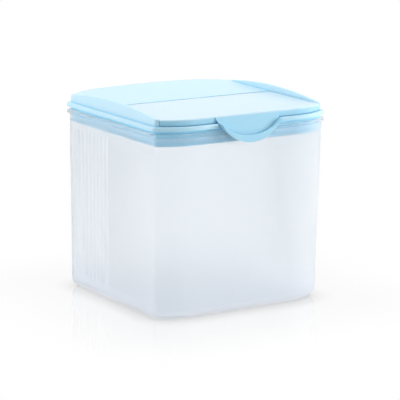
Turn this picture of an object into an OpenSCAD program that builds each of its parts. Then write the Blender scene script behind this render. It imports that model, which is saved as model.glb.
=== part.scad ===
// Freezer box: a clear tub, a lid that plugs into it, and a flap that opens half of the lid.
// Millimetres. The origin is on the floor under the middle of the tub. +Z is up and -Y is the front.

/* [Tub] */
// Width of the tub at its rim, left to right
tub_w = 170; // [150:1:210]
// Depth of the tub at its rim, front to back
tub_d = 162; // [145:0.5:210]
// Height of the tub, floor to rim
tub_h = 157.8; // [110:0.2:220]
// Thickness of the tub wall
tub_wall = 2; // [1.6:0.1:2.6]
// Thickness of the tub bottom
bottom_t = 2.2; // [1.6:0.1:4]
// Lean of the walls, in degrees
draft = 0.8; // [0.4:0.05:1.5]
// Radius round the base edge
base_r = 8; // [4:0.5:12]
// Width of the ring that the tub stands on
foot_w = 6; // [4:0.5:10]
// Height of the hollow inside that ring
foot_h = 1; // [0.6:0.1:2]
// How far the rim lip stands out from the wall
rim_out = 1.8; // [1:0.1:3]
// Height of the rim lip
rim_t = 2.7; // [1.6:0.1:4]

/* [Plan shape] */
// Half the width of the flat middle of the front and of the back
flat_half = 50; // [35:1:60]
// Radius of the swept corners
corner_r = 57; // [50:1:70]
// Radius of the crease where a corner meets a side wall
crease_r = 4; // [3:0.5:6]

/* [Grip ribs] */
// Ribs on the rear half of each side wall
rib_n = 11; // [4:1:11]
// Distance from the middle of the side wall to the first rib
rib_start = 3.5; // [2:0.5:5]
// Distance from the last rib to the crease
rib_end = 1.5; // [1.2:0.1:6]
// How far a rib stands out
rib_out = 0.6; // [0.4:0.1:1]
// Width of a rib at the wall
rib_w = 2.2; // [1.4:0.1:3]
// Height of the lower end of the ribs
rib_low = 13; // [10:1:30]
// Distance from the rim down to the upper end of the ribs
rib_drop = 15; // [12:1:30]

/* [Lid] */
// Height of the flap above the tub rim
deck_rise = 12.2; // [12:0.1:18]
// Thickness of the deck and of the flap plate
deck_t = 2; // [1.8:0.1:2.4]
// How far the lid wall is set in from the tub wall
lid_inset = 1.1; // [0.6:0.1:1.3]
// Thickness of the lid wall
lid_wall = 2; // [1.6:0.1:2.4]
// Height of the dark groove between the rim and the lid band
groove_h = 2.6; // [2:0.1:4]
// Height of the band round the lid
band_t = 3.8; // [3:0.1:5]
// How far the lid band stands out from the tub wall
band_out = 2; // [1:0.1:3]
// Depth of the plug below the rim
plug_h = 10.4; // [7:0.1:12]
// Thickness of the plug wall
plug_t = 1.8; // [1.6:0.1:2.4]
// Running gap between the plug and the tub
plug_gap = 0.5; // [0.35:0.05:0.8]
// Thickness of the side cheeks
cheek_t = 3; // [2.6:0.1:4]
// Rise of the cheeks above the flap at their middle
cheek_rise = 5.4; // [3:0.1:8]
// Rise of the deck's rear edge above the flap, in the middle
dome_mid = 2.8; // [0:0.1:5]
// Rise of the deck's rear edge above the flap, at the sides
dome_side = 0.3; // [0:0.1:2]

/* [Flap] */
// Distance of the hinge line behind the middle of the box
hinge_y = 2.5; // [0:0.5:15]
// Radius of the hinge trunnions
pin_r = 1.2; // [1:0.1:1.5]
// Length of a trunnion beyond the flap
pin_len = 2.1; // [1.6:0.1:2.2]
// Running gap round a trunnion
pin_gap = 0.05; // [0.04:0.01:0.15]
// Gap between the flap and what is beside or below it
flap_gap = 0.35; // [0.3:0.05:0.6]
// Width of each open slot at the hinge line
slot_w = 1.1; // [0.8:0.1:1.6]
// Half the width of the closed bridge between the slots
bridge_half = 9.5; // [5:0.5:20]
// Width of the closed stretch at each end of the hinge line
end_w = 5; // [3:0.5:10]
// Gap left at the bridges
bridge_gap = 0.3; // [0.25:0.05:0.4]
// Thickness of the skirts under the flap's sides
skirt_t = 1.5; // [1.2:0.1:2]
// Height of those skirts
skirt_h = 2.6; // [1:0.1:3]

/* [Thumb tab] */
// Half the width of the tab at the lid's top edge
tab_half = 32.8; // [28:0.1:36]
// Drop of the tab's lowest point below the deck
tab_drop = 22.9; // [20:0.1:25]
// Thickness of the tab's plate
tab_t = 1.5; // [1.2:0.1:1.6]
// Outward run of the plate for each millimetre of drop
tab_slope = 0.4; // [0.39:0.01:0.5]
// Drop from the deck to the knee, below which the plate hangs nearly straight
tab_knee = 11.9; // [11.5:0.1:14]
// How far the lip's face stands out from the lid wall
lip_out = 7.6; // [7:0.1:10]
// Step from the plate's lower end out to the lip's face
lip_step = 0.5; // [0.3:0.1:0.8]
// Height of the lip at its middle
lip_h = 6.1; // [4:0.1:7]
// Radius of the lip's inner edge
lip_in_r = 47; // [44:0.1:55]

/* [Dispensing opening] */
// Width of the opening under the flap
mouth_w = 132; // [90:1:134]
// Distance from the hinge line to the opening
mouth_back = 11; // [9:0.5:20]
// Distance from the front wall to the opening
mouth_front = 13; // [11:0.5:20]
// Radius of the opening's corners
mouth_r = 10; // [6:1:16]
// Thickness of the shelf round the opening
shelf_t = 1.8; // [1.4:0.1:2.4]
// Thickness of the collar round the opening
collar_t = 1.6; // [1.2:0.1:2.4]
// Height of the collar above the shelf
collar_h = 2.9; // [2:0.1:3]

/* [Seals] */
// Width of the flap seal
fseal_w = 3.4; // [2.6:0.1:4.4]
// Depth of its groove in the flap plate
fseal_set = 0.6; // [0.4:0.1:0.8]
// Gap between the flap seal and the collar
fseal_gap = 0.3; // [0.25:0.05:0.4]
// Height of the lid seal
lseal_h = 2.4; // [1.6:0.1:3]
// Depth of its groove in the plug
lseal_set = 0.8; // [0.5:0.1:0.9]
// Gap between the lid seal and the tub
lseal_gap = 0.2; // [0.15:0.05:0.3]

/* [Hidden] */
// Points on each swept corner and on each crease
arc_n = 12;
crease_n = 6;
// How far joined shapes run into each other
bite = 0.4;
// How far a cutter runs past what it cuts
past = 1;
// Angle between the points of the tub's outer base radius, and of its inner one
base_turn = 18;
floor_turn = 22.5;
// Depth of a rib's ends below the wall's face
rib_sink = 0.1;
// Columns across the domed deck
dome_n = 16;
// Levels, from the floor
z_deck = tub_h + deck_rise;
z_band = tub_h + groove_h;
z_shelf = z_band + band_t;
z_top = z_deck + cheek_rise;
z_hinge = z_deck - deck_t / 2;
z_collar = z_shelf + collar_h;
// Inset of the plug's outer face and of the tub's inner face
plug_in = tub_wall + plug_gap;
// Half-widths at the lid
lid_half = tub_w / 2 - lid_inset;
cheek_half = lid_half - cheek_t;
flap_half = cheek_half - flap_gap;
// Front face of the lid wall and of the thumb lip
y_lid = -tub_d / 2 + lid_inset;
y_lip = y_lid - lip_out;
// Front edge of the deck at the slots and at the bridges
y_slot = hinge_y + deck_t / 2 + slot_w;
y_bridge = hinge_y + deck_t / 2 + bridge_gap;
// Front and back of the opening
y_mouth0 = y_lid + mouth_front;
y_mouth1 = hinge_y - mouth_back;
// The tab's round: through the half-width at the deck and through the lowest point
tab_r = (tab_half * tab_half + tab_drop * tab_drop) / (2 * tab_drop);
z_tab = z_deck - tab_drop + tab_r;
z_lip_in = z_deck - tab_drop + lip_h + lip_in_r;
// Half the width of the notch in the lid band: the tab's own half-width at the band, and a gap
notch_half = sqrt(tab_r * tab_r - pow(z_tab - z_shelf, 2)) + flap_gap;

// Inset of the drafted wall at height z, negative inwards
function lean(z) = -(tub_h - z) * tan(draft);

// The centre of a crease, seen from the centre of the swept corner beside it
function crease_step(o) =
    let (dx = tub_w / 2 + o - crease_r - flat_half)
    [dx, sqrt(pow(corner_r + o - crease_r, 2) - dx * dx)];

// One quarter of the plan shape, moved outwards by o, from the side wall to the flat middle
function quarter(o) =
    let (
        hub = [flat_half, tub_d / 2 - corner_r],
        step = crease_step(o),
        turn = atan2(step.y, step.x)
    )
    concat(
        [for (i = [0 : crease_n - 1])
            let (a = turn * i / crease_n)
            hub + step + crease_r * [cos(a), sin(a)]],
        [for (i = [0 : arc_n])
            let (a = turn + (90 - turn) * i / arc_n)
            hub + (corner_r + o) * [cos(a), sin(a)]]
    );

function flip_x(p) = [for (i = [len(p) - 1 : -1 : 0]) [-p[i].x, p[i].y]];
function flip_y(p) = [for (i = [len(p) - 1 : -1 : 0]) [p[i].x, -p[i].y]];

// The whole plan shape, counterclockwise, moved outwards by o
function outline(o) =
    let (q = quarter(o), h = concat(q, flip_x(q)))
    concat(h, flip_y(h));

// A closed skin over rings of points that lie one above the other or one inside the other
module loft(rings) {
    n = len(rings[0]);
    last = len(rings) - 1;
    points = [for (r = rings) each r];
    sides = [for (i = [0 : last - 1], j = [0 : n - 1])
        let (a = i * n + j, b = i * n + (j + 1) % n, c = b + n, d = a + n)
        each [[a, d, c], [a, c, b]]];
    cap_a = [for (j = [0 : n - 1]) j];
    cap_b = [for (j = [n - 1 : -1 : 0]) last * n + j];
    polyhedron(points, concat(sides, [cap_a, cap_b]));
}

// An upright wall that follows the plan shape, from offset out to offset in
module ring_wall(out, in, z0, z1) {
    translate([0, 0, z0])
        linear_extrude(z1 - z0)
            difference() {
                polygon(outline(out));
                polygon(outline(in));
            }
}

// A plate that fills the plan shape
module plate(o, z0, z1) {
    translate([0, 0, z0]) linear_extrude(z1 - z0) polygon(outline(o));
}

// A box from one corner to the other
module block(a, b) {
    translate(a) cube(b - a);
}

module rounded_rect(x, y0, y1, r) {
    for (s = [-1, 1], y = [y0 + r, y1 - r])
        translate([s * (x - r), y]) circle(r, $fn = 64);
    translate([-x, y0 + r]) square([2 * x, y1 - y0 - 2 * r]);
    translate([-x + r, y0]) square([2 * x - 2 * r, y1 - y0]);
}

// The opening's outline, grown by g, as a prism
module mouth(g, z0, z1) {
    translate([0, 0, z0])
        linear_extrude(z1 - z0)
            rounded_rect(mouth_w / 2 + g, y_mouth0 - g, y_mouth1 + g, mouth_r + g);
}

// A disc that stands on edge and faces the front, from y0 back to y1
module front_disc(r, z, y0, y1) {
    translate([0, y1, z]) rotate([90, 0, 0]) cylinder(r = r, h = y1 - y0, $fn = 128);
}

// A rod along X on the hinge line, from x0 to x1
module hinge_rod(r, x0, x1) {
    translate([x0, hinge_y, z_hinge]) rotate([0, 90, 0]) cylinder(r = r, h = x1 - x0, $fn = 48);
}

function level(o, z) = [for (p = outline(o)) [p.x, p.y, z]];

module tub_shell() {
    r_in = base_r - tub_wall;
    z_floor = foot_h + bottom_t;
    foot = lean(base_r) - base_r;
    bend = lean(z_floor + r_in) - tub_wall - r_in;
    loft(concat(
        [level(foot - foot_w - foot_h, foot_h)],
        [level(foot - foot_w, 0)],
        [for (a = [90 : -base_turn : 0]) level(foot + base_r * cos(a), base_r - base_r * sin(a))],
        [level(lean(tub_h - rim_t), tub_h - rim_t)],
        [level(rim_out, tub_h - rim_t)],
        [level(rim_out, tub_h)],
        [level(-tub_wall, tub_h)],
        [for (a = [0 : floor_turn : 90]) level(bend + r_in * cos(a), z_floor + r_in - r_in * sin(a))]
    ));
}

// One upright rib on the side wall, with sloped ends, on the side s
module rib(s, y) {
    z1 = tub_h - rib_drop;
    run = 3 * rib_out;
    rows = [[rib_low, -rib_sink], [rib_low + run, rib_out], [z1 - run, rib_out], [z1, -rib_sink]];
    half_foot = rib_w / 2;
    half_crest = rib_w / 4;
    loft([for (row = rows)
        let (x = tub_w / 2 + lean(row[0]))
        [for (p = [[-bite, -half_foot], [row[1], -half_crest], [row[1], half_crest], [-bite, half_foot]])
            [s * (x + p.x), y + s * p.y, row[0]]]]);
}

module tub() {
    rib_last = tub_d / 2 - corner_r + crease_step(0).y - rib_end;
    rib_pitch = (rib_last - rib_start) / (rib_n - 1);
    color([0.90, 0.94, 0.97, 0.6]) {
        tub_shell();
        for (s = [-1, 1], i = [0 : rib_n - 1]) rib(s, rib_start + rib_pitch * i);
    }
}

// Half-width box that reaches past the lid on every side, from y0 to y1
module lid_slice(half, y0, y1, z0, z1) {
    block([-half, y0, z0], [half, y1, z1]);
}

module lid_ring() {
    z_plug = tub_h - plug_h;
    z_groove = z_plug + (plug_h - lseal_h) / 2;
    difference() {
        ring_wall(-plug_in, -plug_in - plug_t, z_plug, tub_h + bite);
        ring_wall(0, -plug_in - lseal_set, z_groove, z_groove + lseal_h);
    }
    ring_wall(-lid_inset, -plug_in - plug_t, tub_h, tub_h + shelf_t);
    ring_wall(-lid_inset, -lid_inset - lid_wall, tub_h, z_shelf);
    difference() {
        ring_wall(band_out, -lid_inset - bite, z_band, z_shelf);
        lid_slice(notch_half, -tub_d, y_lid, 0, z_top);
    }
}

module lid_shelf() {
    difference() {
        union() {
            intersection() {
                plate(-lid_inset - bite, z_shelf - shelf_t, z_shelf);
                lid_slice(tub_w, -tub_d, y_slot + deck_t, 0, z_top);
            }
            mouth(collar_t, z_shelf - shelf_t, z_collar);
        }
        mouth(0, z_shelf - shelf_t - past, z_collar + past);
    }
}

// All that lies under the deck's top, which runs from the straight hinge line to the arched rear edge
module under_dome(drop) {
    back = tub_d / 2 + past;
    rise_at = function(x, t) t * (dome_mid - (dome_mid - dome_side) * pow(x / lid_half, 2));
    loft([for (y = [y_slot, (y_slot + back) / 2, back])
        let (t = (y - hinge_y) / (tub_d / 2 - hinge_y))
        concat(
            [[lid_half + past, y, z_shelf - bite], [-lid_half - past, y, z_shelf - bite]],
            [for (i = [0 : dome_n])
                let (x = (lid_half + past) * (2 * i / dome_n - 1))
                [x, y, z_deck - drop + rise_at(x, t)]]
        )]);
}

module lid_deck() {
    intersection() {
        under_dome(0);
        ring_wall(-lid_inset, -lid_inset - lid_wall, z_shelf - bite, z_top);
    }
    intersection() {
        plate(-lid_inset - bite, z_shelf - bite, z_top);
        difference() {
            under_dome(0);
            under_dome(deck_t);
        }
    }
    tongue(bridge_half);
    for (s = [-1, 1]) translate([s * (flap_half - end_w / 2), 0, 0]) tongue((end_w + cheek_t) / 2);
    block([-cheek_half - bite, y_slot, z_shelf - shelf_t], [cheek_half + bite, y_slot + deck_t, z_deck]);
}

// A tongue that closes a stretch of the hinge line: one in the middle and one at each end
module tongue(half) {
    lid_slice(half, y_bridge, y_slot + deck_t / 2, z_deck - deck_t, z_deck);
}

// The cheeks' arched top, as one long barrel across the lid
module arch() {
    half_chord = tub_d / 2 - corner_r + crease_step(-lid_inset).y + crease_r;
    arch_r = (half_chord * half_chord + cheek_rise * cheek_rise) / (2 * cheek_rise);
    translate([-tub_w, 0, z_top - arch_r]) rotate([0, 90, 0]) cylinder(r = arch_r, h = 2 * tub_w, $fn = 256);
}

module cheeks() {
    intersection() {
        difference() {
            plate(-lid_inset, z_shelf - bite, z_top);
            lid_slice(cheek_half, -tub_d, tub_d, 0, z_top + past);
        }
        arch();
    }
}

module lid_frame() {
    color([0.62, 0.84, 0.95])
        difference() {
            union() {
                lid_ring();
                lid_shelf();
                lid_deck();
                cheeks();
            }
            hinge_rod(pin_r + pin_gap, -flap_half - pin_len - pin_gap, flap_half + pin_len + pin_gap);
        }
}

// The line of the tab's plate in the side view, moved back by g: deck, knee, lower end
function tab_line(g) = [
    [y_lid + g, z_deck],
    [y_lid - tab_slope * tab_knee + g, z_deck - tab_knee],
    [y_lip + lip_step + g, z_deck - tab_drop]
];

// A side view, drawn out over the tab's width
module tab_wide(points, half) {
    rotate([90, 0, 90]) translate([0, 0, -half]) linear_extrude(2 * half) polygon(points);
}

module tab() {
    back = tab_line(tab_t);
    intersection() {
        tab_wide(concat(tab_line(0), [back[2], back[1], back[0]]), tab_half);
        front_disc(tab_r, z_tab, y_lip - past, y_lid + lid_wall);
    }
}

// The crescent that stands proud along the tab's lower edge
module lip() {
    y_far = y_lid + tab_t + past;
    z_far = z_deck - tab_drop - past;
    back = tab_line(tab_t);
    difference() {
        front_disc(tab_r, z_tab, y_lip, y_lid);
        front_disc(lip_in_r, z_lip_in, y_lip - past, y_lid + past);
        // Nothing is left behind the plate, where the finger goes
        tab_wide(concat(back, [[back[2].x, z_far], [y_far, z_far], [y_far, z_deck]]), tab_half + past);
        lid_slice(tub_w, -tub_d, 0, z_deck, z_top + tub_d);
    }
}

module flap_shell() {
    z_low = z_shelf + flap_gap;
    intersection() {
        plate(-lid_inset, z_deck - deck_t, z_deck);
        lid_slice(flap_half, -tub_d, hinge_y, 0, z_top);
    }
    intersection() {
        ring_wall(-lid_inset, -lid_inset - lid_wall, z_low, z_deck);
        lid_slice(flap_half, -tub_d, -tub_d / 2 + corner_r / 2, 0, z_top);
    }
    // Skirts that stiffen the two sides
    intersection() {
        plate(-lid_inset - bite, z_deck - deck_t - skirt_h, z_deck - deck_t + bite);
        for (s = [-1, 1])
            translate([s * (flap_half - skirt_t / 2), 0, 0])
                lid_slice(skirt_t / 2, -tub_d, hinge_y - mouth_back / 2, 0, z_top);
    }
    hinge_rod(deck_t / 2, -flap_half, flap_half);
    // The two trunnions
    hinge_rod(pin_r, flap_half - bite, flap_half + pin_len);
    hinge_rod(pin_r, -flap_half - pin_len, -flap_half + bite);
}

// The ring that the flap seal fills, grown by g
module flap_seal_ring(g, z0, z1) {
    mid = collar_t / 2;
    difference() {
        mouth(mid + fseal_w / 2 + g, z0, z1);
        mouth(mid - fseal_w / 2 - g, z0 - past, z1 + past);
    }
}

module flap() {
    z_under = z_deck - deck_t;
    color([0.80, 0.92, 0.98])
        difference() {
            union() {
                flap_shell();
                tab();
                lip();
            }
            flap_seal_ring(0, z_under - past, z_under + fseal_set);
        }
}

module flap_seal() {
    color([0.93, 0.95, 0.96]) flap_seal_ring(0, z_collar + fseal_gap, z_deck - deck_t + fseal_set);
}

module lid_seal() {
    z_groove = tub_h - plug_h + (plug_h - lseal_h) / 2;
    color([0.93, 0.95, 0.96])
        ring_wall(-tub_wall - lseal_gap + lean(z_groove), -plug_in - lseal_set, z_groove, z_groove + lseal_h);
}

tub();
lid_frame();
flap();
flap_seal();
lid_seal();
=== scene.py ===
import bpy
import bmesh
import math
from functools import partial
from mathutils import Matrix, Vector


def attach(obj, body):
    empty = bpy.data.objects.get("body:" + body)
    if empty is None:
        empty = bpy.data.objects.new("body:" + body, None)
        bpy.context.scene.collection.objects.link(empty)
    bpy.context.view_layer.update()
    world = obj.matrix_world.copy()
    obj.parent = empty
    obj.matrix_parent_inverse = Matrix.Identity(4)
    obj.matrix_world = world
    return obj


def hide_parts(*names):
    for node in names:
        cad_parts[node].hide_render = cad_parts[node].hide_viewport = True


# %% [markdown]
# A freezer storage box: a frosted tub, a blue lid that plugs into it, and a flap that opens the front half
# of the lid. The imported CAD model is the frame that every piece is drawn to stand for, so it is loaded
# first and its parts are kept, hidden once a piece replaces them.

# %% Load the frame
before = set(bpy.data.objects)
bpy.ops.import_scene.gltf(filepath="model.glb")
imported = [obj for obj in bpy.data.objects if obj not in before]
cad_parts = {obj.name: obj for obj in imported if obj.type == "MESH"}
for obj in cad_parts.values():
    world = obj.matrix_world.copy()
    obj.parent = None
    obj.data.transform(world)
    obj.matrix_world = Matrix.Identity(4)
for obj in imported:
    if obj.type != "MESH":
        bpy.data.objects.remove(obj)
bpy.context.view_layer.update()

# %% [markdown]
# Sizes are in millimetres and match the construction model. Seen from above the box has a flat
# front, a flat back and flat sides, joined by wide swept corners that meet each side wall in a
# tight crease. One drawn curve could be scaled for every level, but scaling would change the
# corners' radius. So a formula gives the outline at any offset from the rim, as the cutter that
# mills the mould follows it.

# %% The plan outline
MM = 0.001
TUB_W = 170.0
TUB_D = 162.0
FLAT_HALF = 50.0
CORNER_R = 57.0
CREASE_R = 4.0
HUB_Y = TUB_D / 2 - CORNER_R
ARC_STEPS = 28
CREASE_STEPS = 7


def crease_centre(offset):
    """Centre of the crease's small radius, measured from the centre of the swept corner."""
    dx = TUB_W / 2 + offset - CREASE_R - FLAT_HALF
    return dx, math.sqrt((CORNER_R + offset - CREASE_R) ** 2 - dx * dx)


def corner_arc(offset, start):
    """The swept corner from the angle start to the flat middle."""
    reach = CORNER_R + offset
    points = []
    for i in range(ARC_STEPS + 1):
        a = start + (math.pi / 2 - start) * i / ARC_STEPS
        points.append((FLAT_HALF + reach * math.cos(a), HUB_Y + reach * math.sin(a)))
    return points


def quarter(offset):
    """Rear right quarter of the outline, from the side wall to the flat middle."""
    dx, dy = crease_centre(offset)
    turn = math.atan2(dy, dx)
    points = []
    for i in range(CREASE_STEPS):
        a = turn * i / CREASE_STEPS
        points.append((FLAT_HALF + dx + CREASE_R * math.cos(a), HUB_Y + dy + CREASE_R * math.sin(a)))
    return points + corner_arc(offset, turn)


def outline(offset, ribs=(), notch=()):
    """The whole outline, counterclockwise. ribs are (y, stand-out) and notch is (x, offset)."""
    corner = quarter(offset)
    right = [(TUB_W / 2 + offset + out, y) for y, out in ribs] + corner
    left = [(-x, y) for x, y in reversed(right)]
    front_left = [(-x, -y) for x, y in corner]
    middle = [(x, -TUB_D / 2 - o) for x, o in notch]
    front_right = [(x, -y) for x, y in reversed(corner)]
    return right + left + front_left + middle + front_right


print("points in one level", len(outline(0)))

# %% [markdown]
# The deck and the flap each have one long edge that follows only the rear or the front of the
# outline. The same corner formula gives it, cut off at a chosen half width.

# %% Part of the outline
FLAT_STEPS = 12


def edge_line(offset, half):
    """The rear edge of the outline from x = half to x = -half."""
    arc = corner_arc(offset, math.acos((half - FLAT_HALF) / (CORNER_R + offset)))
    flat = [(FLAT_HALF * (1 - 2 * i / FLAT_STEPS), TUB_D / 2 + offset) for i in range(1, FLAT_STEPS)]
    return arc + flat + [(-x, y) for x, y in reversed(arc)]


def arc_y(offset, x):
    """How far back the swept corner reaches at x."""
    return HUB_Y + math.sqrt((CORNER_R + offset) ** 2 - (x - FLAT_HALF) ** 2)


print("points in one edge", len(edge_line(0, FLAT_HALF)), "corner reach", round(arc_y(0, FLAT_HALF), 1))

# %% [markdown]
# Moulded plastic has no sharp edges, since molten resin doesn't fill them. A bevel on the
# finished mesh could soften them, but it breaks down where a wall is thin. So a section gets its
# rounded corners before anything is made from it.

# %% Rounded sections
def rounded(corners, steps=4, closed=False):
    """A section with its corners rounded. Each corner is (a, b, radius)."""
    spots = [Vector((a, b)) for a, b, _ in corners]
    count = len(spots)
    made = []
    for i, (_, _, radius) in enumerate(corners):
        end = not closed and i in (0, count - 1)
        if end or radius == 0:
            made.append(tuple(spots[i]))
            continue
        here = spots[i]
        u = (spots[i - 1] - here).normalized()
        v = (spots[(i + 1) % count] - here).normalized()
        half = u.angle(v) / 2
        start = here + u * radius / math.tan(half)
        finish = here + v * radius / math.tan(half)
        centre = here + (u + v).normalized() * radius / math.sin(half)
        for k in range(steps + 1):
            arm = (start - centre).slerp(finish - centre, k / steps).normalized()
            made.append(tuple(centre + arm * radius))
    return made


def quarter_turn(steps):
    """Angles from nothing to a right angle."""
    return [math.pi / 2 * k / steps for k in range(steps + 1)]


square = [(0, 0, 1), (9, 0, 1), (9, 9, 1), (0, 9, 1)]
print("points in a rounded square", len(rounded(square, closed=True)))

# %% [markdown]
# Nearly every part of the box is a wall that runs along a line. Such a wall could be built from
# single faces, but it is quicker and safer to draw its first edge and extrude that from row to
# row. The points are moved into place after each step, so the wall can bend and lean.

# %% Sweeping a wall through rows
MERGE_DISTANCE = 0.004
SHORTEST_EDGE = 0.002


def new_verts(made):
    """The points among what an operator has made."""
    return [g for g in made if isinstance(g, bmesh.types.BMVert)]


def sweep(bm, rows, closed=True):
    """Draws a chain of points along the first row and carries it through the other rows."""
    chain = [bm.verts.new(p) for p in rows[0]]
    edges = [bm.edges.new(pair) for pair in zip(chain, chain[1:])]
    if closed:
        edges.append(bm.edges.new((chain[-1], chain[0])))
    for row in rows[1:]:
        made = bmesh.ops.extrude_edge_only(bm, edges=edges)["geom"]
        fresh = set(new_verts(made))
        chain = [next(e.other_vert(v) for e in v.link_edges if e.other_vert(v) in fresh) for v in chain]
        edges = [g for g in made if isinstance(g, bmesh.types.BMEdge) and set(g.verts) <= fresh]
        for v, p in zip(chain, row):
            v.co = p


def merge(bm):
    """Joins points that coincide and drops edges too short to see."""
    bmesh.ops.remove_doubles(bm, verts=bm.verts, dist=MERGE_DISTANCE)
    bmesh.ops.dissolve_degenerate(bm, edges=bm.edges, dist=SHORTEST_EDGE)


def close_ends(bm):
    """Fills each open loop with one face."""
    open_edges = [e for e in bm.edges if e.is_boundary]
    if open_edges:
        bmesh.ops.holes_fill(bm, edges=open_edges, sides=0)


def capped_sweep(bm, rows, closed=True):
    """A swept wall with its ends closed."""
    sweep(bm, rows, closed)
    merge(bm)
    close_ends(bm)


print("points nearer than", MERGE_DISTANCE, "mm are joined")

# %% [markdown]
# Three more forms come up again and again: a ring whose section runs round the plan, a flat
# sheet with a thickness, and a small block with softened edges. A ring is the sweep turned
# round: the rows are the loops of the plan, one for each point of the section.

# %% Rings, sheets and blocks
def ring(bm, section, level):
    """A closed ring whose section runs round the plan. level(a, b) gives the loop at one point."""
    sweep(bm, [level(*p) for p in [*section, section[0]]])
    merge(bm)


def thicken(bm, faces, move):
    """Gives flat faces a thickness by drawing them out along move."""
    made = bmesh.ops.extrude_face_region(bm, geom=faces)["geom"]
    bmesh.ops.translate(bm, verts=new_verts(made), vec=move)


def block(bm, low, high, soft):
    """A small block between two opposite corners, with softened edges."""
    made = bmesh.ops.create_cube(bm, size=1)
    size = [b - a for a, b in zip(low, high)]
    middle = [(a + b) / 2 for a, b in zip(low, high)]
    bmesh.ops.scale(bm, verts=made["verts"], vec=size)
    bmesh.ops.translate(bm, verts=made["verts"], vec=middle)
    own = set(made["verts"])
    edges = [e for e in bm.edges if set(e.verts) <= own]
    bmesh.ops.bevel(bm, geom=edges, offset=soft, segments=2, profile=0.5, affect="EDGES", material=-1)


def join_parts(parts):
    """Draws each part by itself, turns its faces outwards and gathers all in one drawing."""
    whole = bmesh.new()
    for part in parts:
        island = bmesh.new()
        part(island)
        bmesh.ops.recalc_face_normals(island, faces=island.faces)
        carrier = bpy.data.meshes.new("carrier")
        island.to_mesh(carrier)
        island.free()
        whole.from_mesh(carrier)
        bpy.data.meshes.remove(carrier)
    return whole


trial = join_parts([partial(block, low=(0, 0, 0), high=(2, 1, 1), soft=0.1)])
print("faces in one softened block", len(trial.faces))
trial.free()

# %% [markdown]
# A drawing becomes a piece when it is scaled from millimetres to metres, smoothed and given its finish.
# Faces that meet at a steep angle stay crisp. The piece then rides the body that moves it in the CAD and
# stands for one CAD node, whose own mesh is hidden.

# %% From drawing to piece
SHARP_ANGLE = math.radians(32)


def add_piece(name, bm, material, body, cad_node):
    """Turns the drawn shape into an object that rides its body and stands for its CAD node."""
    merge(bm)
    bmesh.ops.recalc_face_normals(bm, faces=bm.faces)
    bmesh.ops.scale(bm, verts=bm.verts, vec=(MM, MM, MM))
    mesh = bpy.data.meshes.new(name)
    bm.to_mesh(mesh)
    bm.free()
    mesh.shade_smooth()
    mesh.set_sharp_from_angle(angle=SHARP_ANGLE)
    mesh.materials.append(material)
    piece = bpy.data.objects.new(name, mesh)
    bpy.context.collection.objects.link(piece)
    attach(piece, body)
    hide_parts(cad_node)


print("edges over", round(math.degrees(SHARP_ANGLE)), "degrees stay crisp")

# %% [markdown]
# Every finish is a small network of shader nodes. Written out by hand each node takes several
# lines, so a few helpers add a node with its values, feed an input and mix two shaders.

# %% Node helpers
COLOUR_A = 6
COLOUR_B = 7
COLOUR_OUT = 2


def socket(group, name, kind, side, value=None):
    made = group.interface.new_socket(name=name, in_out=side, socket_type=kind)
    if value is not None:
        made.default_value = value


def node(tree, kind, **values):
    """A new node. Each value goes to the input of that name, or else to the property."""
    made = tree.nodes.new(kind)
    for key, value in values.items():
        name = key.replace("_", " ")
        if name in made.inputs:
            made.inputs[name].default_value = value
        else:
            setattr(made, key, value)
    return made


def feed(tree, entry, value):
    """Links a socket to an input, or sets the input to a plain value."""
    if isinstance(value, bpy.types.NodeSocket):
        tree.links.new(value, entry)
    else:
        entry.default_value = value


def blend(tree, share, first, second):
    """Mixes two shaders, with share as the part that the second one takes."""
    mix = tree.nodes.new("ShaderNodeMixShader")
    for entry, value in zip(mix.inputs, (share, first, second)):
        feed(tree, entry, value)
    return mix.outputs[0]


def tint_mix(tree, share, first, second):
    """Mixes two colours. The colour sockets of this node come after its other kinds."""
    mix = node(tree, "ShaderNodeMix", data_type="RGBA")
    for index, value in ((0, share), (COLOUR_A, first), (COLOUR_B, second)):
        feed(tree, mix.inputs[index], value)
    return mix.outputs[COLOUR_OUT]


def empty_tree(owner):
    """Clears the nodes of a material or world and returns its tree."""
    owner.use_nodes = True
    owner.node_tree.nodes.clear()
    return owner.node_tree


def rgb(r, g, b):
    """A colour on the shader's scale from one on the 0 to 255 screen scale."""
    scaled = [c / 255 for c in (r, g, b)]
    linear = [c / 12.92 if c <= 0.04045 else ((c + 0.055) / 1.055) ** 2.4 for c in scaled]
    return (*linear, 1.0)


print("screen grey 128 is", round(rgb(128, 128, 128)[0], 3), "on the shader's scale")

# %% [markdown]
# The finishes share two effects. One is the fine grain that a blasted mould leaves on plastic,
# as a mask and as a bump. A picture could give it, but noise needs no unwrapping and has no seam.
# The other is a tint that changes slowly with height, and it paints shade and light. On the flap the shaded
# front wall gets a deeper blue and the lit top a paler one. On the lid frame the lower colour is a more
# saturated blue: painted shade on the band's front and painted light on the plug, which stands in shade
# inside the tub. On the tub and the seals the colour is only a little darker towards the bottom. Each is a
# node group, so it is written once and used by all.

# %% Shared shader groups
GRAIN_SCALE = 900.0
GRAIN_DEPTH = 0.0002


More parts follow.
